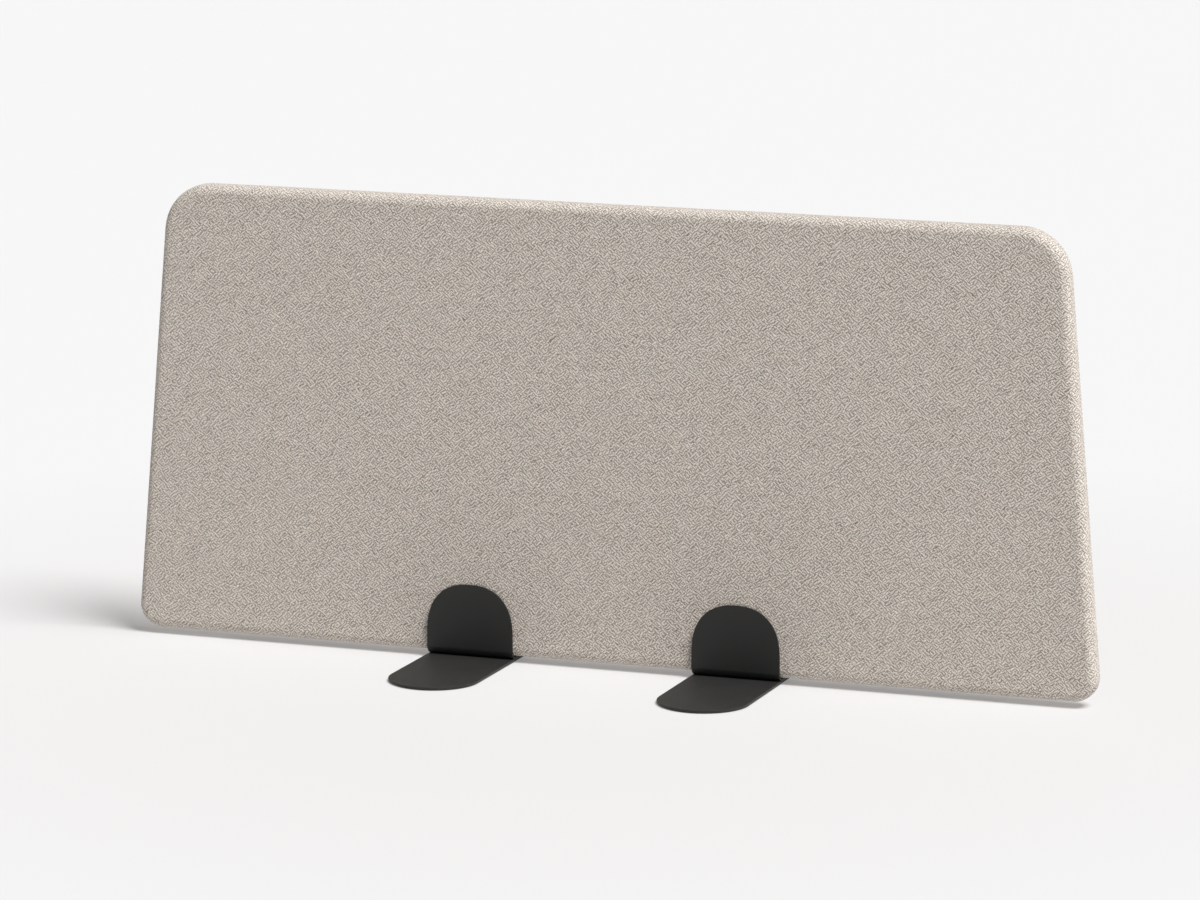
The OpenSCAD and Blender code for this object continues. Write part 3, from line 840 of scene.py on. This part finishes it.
def timber(name, pale, deep, grain, ring):
    """Planed wood: streaks along the grain, whose size is the step in each direction."""
    wood = Finish(name, Roughness=0.6, Specular_IOR_Level=0.35)
    place = wood.coordinates()
    streak = wood.noise(wood.placed(place, size=grain), 1, 4, 0.6)
    rings = wood.noise(wood.placed(place, size=ring), 1, 1)
    band = ((rings * 40).sine() * 0.5 + 0.5) * 0.5 + streak * 0.6
    wood.set(Base_Color=wood.blend(pale, deep, band.clipped()),
             Roughness=streak * 0.2 + 0.5, Normal=wood.bump(streak, 0.15 * MM))
    return wood


def plywood():
    """Birch plywood: layers of PLY_T, dark end grain between pale face grain."""
    ply = Finish("plywood", Roughness=0.6, Specular_IOR_Level=0.35)
    place = ply.coordinates()
    depth = ply.node("ShaderNodeSeparateXYZ", None, {"Vector": place})["Y"]
    layer = (depth * (math.pi / PLY_T)).sine()
    streak = ply.noise(ply.placed(place, size=PLY_GRAIN), 1, 3)
    shade = (layer * 0.35 + 0.4 + (streak - 0.5) * 0.5).clipped()
    ply.set(Base_Color=ply.blend(colour(222, 194, 152), colour(168, 128, 84), shade),
            Normal=ply.bump(streak, 0.1 * MM))
    return ply


def powder_coat():
    """Fine matt black powder coat: a soft orange peel and a faint change of gloss."""
    coat = Finish("powder_coat", Specular_IOR_Level=0.46)
    place = coat.coordinates()
    peel = coat.noise(place, 1.1 * MM, 2, 0.6)
    grit = coat.noise(place, 0.35 * MM, 1)
    cloud = coat.noise(place, 60 * MM, 2)
    coat.set(Base_Color=coat.blend(COAT_DEEP, COAT_PALE, cloud * 0.6 + grit * 0.4),
             Roughness=cloud * 0.08 + grit * 0.08 + COAT_ROUGHNESS,
             Normal=coat.bump(peel * 0.7 + grit * 0.3, 0.05 * MM))
    return coat


def zinc():
    """Bright zinc plate, clouded and slightly scratched."""
    plate = Finish("zinc", Metallic=1.0)
    place = plate.coordinates()
    cloud = plate.noise(place, 3 * MM, 3)
    scratch = plate.noise(plate.placed(place, size=(8 * MM, 0.3 * MM, 0.3 * MM)), 1, 1)
    plate.set(Base_Color=plate.blend(colour(168, 170, 172), colour(208, 209, 208), cloud),
              Roughness=cloud * 0.2 + scratch * 0.1 + 0.25, Normal=plate.bump(scratch, 0.01 * MM))
    return plate


def woven_tape():
    """Dark twill tape: slanting ribs a millimetre apart over a fine weave."""
    tape = Finish("woven_tape", Roughness=0.85, Specular_IOR_Level=0.3)
    flat = tape.coordinates("cloth")
    slanted = tape.placed(flat, (0, 0, math.radians(35)), (1.1 * MM, 1.1 * MM, 1))
    across = tape.node("ShaderNodeSeparateXYZ", None, {"Vector": slanted})
    rib, pick = (across["X"] * (2 * math.pi)).sine(), (across["Y"] * (4 * math.pi)).sine()
    height = rib * 0.35 + pick * 0.15 + 0.5
    # Colour follows the ribs' height: painted shade between the ribs, painted highlight on their
    # crests
    tape.set(Base_Color=tape.blend(colour(52, 51, 50), colour(104, 101, 97), height),
             Normal=tape.bump(height, 0.25 * MM))
    return tape


def dimpled_rubber():
    """Black rubber with small dimples."""
    rubber = Finish("dimpled_rubber", Roughness=0.8, Specular_IOR_Level=0.4)
    place = rubber.coordinates()
    cells = rubber.node("ShaderNodeTexVoronoi", {"voronoi_dimensions": "3D"},
                        {"Vector": place, "Scale": 1 / (2.5 * MM), "Randomness": 0.2})
    dust = rubber.noise(place, 8 * MM, 3)
    rubber.set(Base_Color=rubber.blend((0.012, 0.012, 0.012, 1), (0.03, 0.03, 0.029, 1), dust),
               Normal=rubber.bump(cells["Distance"], 0.4 * MM))
    return rubber


CLOTH = woollen_cloth()
THREAD = fibrous("sewing_thread", colour(196, 188, 178), colour(150, 142, 132), 0.6 * MM, 0.1 * MM)
WADDING = fibrous("polyester_wadding", colour(244, 243, 238), colour(214, 213, 208), 5 * MM,
                  1.5 * MM)
ABSORBER = fibrous("pressed_fibre", colour(176, 172, 160), colour(112, 110, 104), 3 * MM, 0.6 * MM)
FELT = fibrous("grey_felt", colour(86, 86, 86), colour(48, 48, 49), 1.6 * MM, 0.3 * MM)
PINE, PINE_UP = (
    timber(name, colour(226, 192, 140), colour(184, 138, 84), grain, ring)
    for name, grain, ring in (
        ("pine_along", (0.16, 0.003, 0.003), (1.2, 0.03, 0.03)),
        ("pine_upright", (0.003, 0.003, 0.16), (0.03, 0.03, 1.2))))
BEECH = timber("beech_dowel", colour(222, 186, 142), colour(190, 146, 102),
               (0.02, 0.0015, 0.02), (0.3, 0.02, 0.3))
PLYWOOD, COAT, ZINC = plywood(), powder_coat(), zinc()
TAPE, RUBBER = woven_tape(), dimpled_rubber()


def soften(node, width):
    """Modifiers that round the edges of a steel part: weld, bevel, keep the faces flat."""
    tree = bpy.data.node_groups.get("weld_and_smooth") or weld_and_smooth()
    node.modifiers.new("smooth", "NODES").node_group = tree
    bevel = node.modifiers.new("edges", "BEVEL")
    bevel.width, bevel.segments, bevel.limit_method = width, 2, "ANGLE"
    bevel.angle_limit = math.radians(EASE_ABOVE)
    node.modifiers.new("flat_faces", "WEIGHTED_NORMAL")


def weld_and_smooth():
    """Geometry nodes that join a node's loose triangles and shade them smooth."""
    tree = bpy.data.node_groups.new("weld_and_smooth", "GeometryNodeTree")
    for way in ("INPUT", "OUTPUT"):
        tree.interface.new_socket("Geometry", in_out=way, socket_type="NodeSocketGeometry")
    weld = tree.nodes.new("GeometryNodeMergeByDistance")
    weld.inputs["Distance"].default_value = STEEL_WELD
    smooth = tree.nodes.new("GeometryNodeSetShadeSmooth")
    ends = tree.nodes.new("NodeGroupInput"), tree.nodes.new("NodeGroupOutput")
    tree.links.new(ends[0].outputs[0], weld.inputs[0])
    tree.links.new(weld.outputs[0], smooth.inputs[0])
    tree.links.new(smooth.outputs[0], ends[1].inputs[0])
    return tree


def dress_nodes():
    """Gives every CAD node that stays its finish."""
    dressed = {
        PINE: ["top_rail", "bottom_rail"],
        PINE_UP: ["left_stile", "right_stile", "left_post", "right_post"],
        PLYWOOD: [f"{row}_{side}_block" for row in ("top", "bottom") for side in ("left", "right")],
        BEECH: ["frame_dowels"],
        ZINC: ["post_screws", "strip_staples", "left_foot_screws", "right_foot_screws"],
        COAT: [f"{side}_{part}" for side in ("left", "right")
               for part in ("base_plate", "bracket")],
        RUBBER: ["left_floor_sheet", "right_floor_sheet"],
    }
    for finish, names in dressed.items():
        for name in names:
            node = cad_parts[name]
            node.data.materials.clear()
            node.data.materials.append(finish.material)
            if finish is COAT:
                soften(node, STEEL_EASE)


def dress_panel():
    """The upholstery and what it hides."""
    wadding_pad("wadding_pad_front", 1, "wadding_front")
    wadding_pad("wadding_pad_back", -1, "wadding_back")
    front_cloth(thread_stitches())
    rear_cloth()
    absorber_slabs()
    closing_tape()


def dress_feet():
    """Felt in both brackets."""
    for side, name in ((-1, "left"), (1, "right")):
        liner(f"{name}_felt_liner", side, f"{name}_liner", f"{name}_foot")


place_camera()
light_the_stage()
dress_nodes()
dress_panel()
dress_feet()
